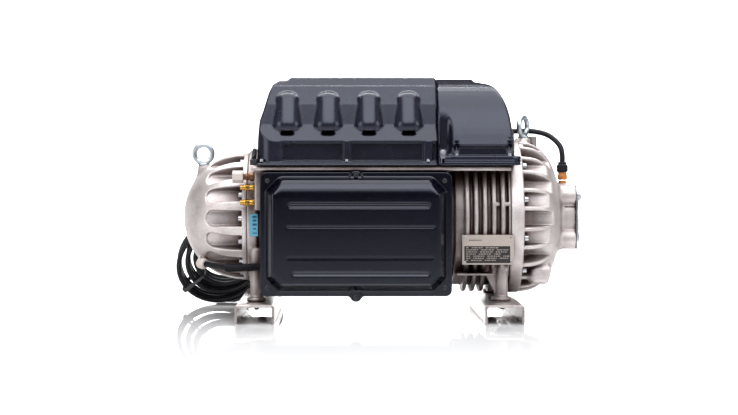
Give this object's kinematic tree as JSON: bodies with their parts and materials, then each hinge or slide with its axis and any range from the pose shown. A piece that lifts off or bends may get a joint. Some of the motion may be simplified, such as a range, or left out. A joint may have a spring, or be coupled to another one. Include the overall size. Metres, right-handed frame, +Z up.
{
  "type": "centrifugal refrigerant compressor",
  "caption": "Oil-free two-stage centrifugal compressor with magnetic bearings, a built-in drive under black covers, foot rails and a coiled interface cable.",
  "frame": {"origin": "middle of the machine's bounding box without the cable, on the ground", "axes": "+X along the shaft to the suction port, +Y out through the discharge flange, +Z up"},
  "size_m": [0.8265, 0.518, 0.471],
  "materials": {
    "cast_aluminium": "as cast, satin",
    "machined_aluminium": "machined",
    "steel": "ground",
    "laminated_steel": "stacked laminations",
    "copper_winding": "enamelled copper wire",
    "black_plastic": "fine satin",
    "galvanised_steel": "galvanised",
    "zinc_steel": "bright zinc plate",
    "brass": "turned",
    "ivory_plastic": "moulded",
    "amber_plastic": "moulded",
    "cable_rubber": "matt",
    "grey_plastic": "moulded",
    "capacitor_can": "drawn can",
    "circuit_board": "solder mask",
    "blue_label": "printed film",
    "nameplate": "silver foil"
  },
  "bodies": {
    "casing": {"main_housing": "cast_aluminium", "end_cap": "cast_aluminium", "suction_housing": "cast_aluminium", "suction_port_flange": "cast_aluminium", "discharge_nozzle": "cast_aluminium", "discharge_flange": "cast_aluminium", "interstage_diffuser": "machined_aluminium", "vane_carrier": "machined_aluminium", "touchdown_bearing_rear": "steel", "touchdown_bearing_front": "steel", "check_valve_spring": "steel", "stator_core": "laminated_steel", "radial_bearing_rear": "laminated_steel", "radial_bearing_front": "laminated_steel", "thrust_bearing": "laminated_steel", "end_winding_rear": "copper_winding", "end_winding_front": "copper_winding", "capacitor_cover": "black_plastic", "mains_cover": "black_plastic", "service_cover": "black_plastic", "left_rail": "galvanised_steel", "right_rail": "galvanised_steel", "eye_bolt_left": "zinc_steel", "eye_bolt_right": "zinc_steel", "access_valve_upper": "brass", "access_valve_lower": "brass", "charging_port_cap": "ivory_plastic", "conduit_collar": "ivory_plastic", "suction_sensor": "amber_plastic", "sensor_lead": "cable_rubber", "sensor_gland": "cable_rubber", "conduit_hose": "cable_rubber", "interface_cable_gland": "cable_rubber", "interface_cable_lead": "cable_rubber", "interface_cable_tail": "cable_rubber", "interface_cable_coil": "cable_rubber", "igv_motor": "grey_plastic", "interface_cable_tie": "grey_plastic", "interface_cable_connector": "grey_plastic", "inverter_module": "grey_plastic", "dc_capacitor_1": "capacitor_can", "dc_capacitor_2": "capacitor_can", "dc_capacitor_3": "capacitor_can", "dc_capacitor_4": "capacitor_can", "control_board": "circuit_board", "refrigerant_label": "blue_label", "nameplate": "nameplate"},
    "rotor": {"rotor_shaft": "steel", "impeller_1": "machined_aluminium", "impeller_2": "machined_aluminium"},
    "vane_ring": {"drive_ring": "steel"},
    "vane_pinion": {"igv_pinion": "steel"},
    "check_valve": {"check_valve_poppet": "steel"},
    "vane_1": {"guide_vane_1": "machined_aluminium"},
    "vane_2": {"guide_vane_2": "machined_aluminium"},
    "vane_3": {"guide_vane_3": "machined_aluminium"},
    "vane_4": {"guide_vane_4": "machined_aluminium"},
    "vane_5": {"guide_vane_5": "machined_aluminium"},
    "vane_6": {"guide_vane_6": "machined_aluminium"},
    "vane_7": {"guide_vane_7": "machined_aluminium"}
  },
  "joints": [
    {"name": "rotor_spin", "type": "hinge", "parent": "casing", "child": "rotor", "pos_m": [0, -0.042, 0.197], "axis": [1, 0, 0], "continuous": true},
    {"name": "vane_ring_turn", "type": "hinge", "parent": "casing", "child": "vane_ring", "pos_m": [0.3065, -0.042, 0.197], "axis": [1, 0, 0], "range_deg": [0, 16.88]},
    {"name": "guide_vane_1_turn", "type": "hinge", "parent": "casing", "child": "vane_1", "pos_m": [0.322, -0.042, 0.197], "axis": [0, 0, 1], "range_deg": [0, 90]},
    {"name": "guide_vane_2_turn", "type": "hinge", "parent": "casing", "child": "vane_2", "pos_m": [0.322, -0.042, 0.197], "axis": [0, -0.7818, 0.6235], "range_deg": [0, 90]},
    {"name": "guide_vane_3_turn", "type": "hinge", "parent": "casing", "child": "vane_3", "pos_m": [0.322, -0.042, 0.197], "axis": [0, -0.9749, -0.2225], "range_deg": [0, 90]},
    {"name": "guide_vane_4_turn", "type": "hinge", "parent": "casing", "child": "vane_4", "pos_m": [0.322, -0.042, 0.197], "axis": [0, -0.4339, -0.901], "range_deg": [0, 90]},
    {"name": "guide_vane_5_turn", "type": "hinge", "parent": "casing", "child": "vane_5", "pos_m": [0.322, -0.042, 0.197], "axis": [0, 0.4339, -0.901], "range_deg": [0, 90]},
    {"name": "guide_vane_6_turn", "type": "hinge", "parent": "casing", "child": "vane_6", "pos_m": [0.322, -0.042, 0.197], "axis": [0, 0.9749, -0.2225], "range_deg": [0, 90]},
    {"name": "guide_vane_7_turn", "type": "hinge", "parent": "casing", "child": "vane_7", "pos_m": [0.322, -0.042, 0.197], "axis": [0, 0.7818, 0.6235], "range_deg": [0, 90]},
    {"name": "vane_pinion_turn", "type": "hinge", "parent": "casing", "child": "vane_pinion", "pos_m": [0.3065, -0.07693, 0.26953], "axis": [1, 0, 0], "range_deg": [-151.88, 0]},
    {"name": "check_valve_lift", "type": "slide", "parent": "casing", "child": "check_valve", "axis": [0, 1, 0], "range_m": [0, 0.014], "stiffness_N_per_m": 150, "springref_m": -0.02, "deforming": ["check_valve_spring"]}
  ],
  "couplings": [
    {"joint": "guide_vane_1_turn", "follows": "vane_ring_turn", "ratio": 5.3333},
    {"joint": "guide_vane_2_turn", "follows": "vane_ring_turn", "ratio": 5.3333},
    {"joint": "guide_vane_3_turn", "follows": "vane_ring_turn", "ratio": 5.3333},
    {"joint": "guide_vane_4_turn", "follows": "vane_ring_turn", "ratio": 5.3333},
    {"joint": "guide_vane_5_turn", "follows": "vane_ring_turn", "ratio": 5.3333},
    {"joint": "guide_vane_6_turn", "follows": "vane_ring_turn", "ratio": 5.3333},
    {"joint": "guide_vane_7_turn", "follows": "vane_ring_turn", "ratio": 5.3333},
    {"joint": "vane_pinion_turn", "follows": "vane_ring_turn", "ratio": -9}
  ]
}
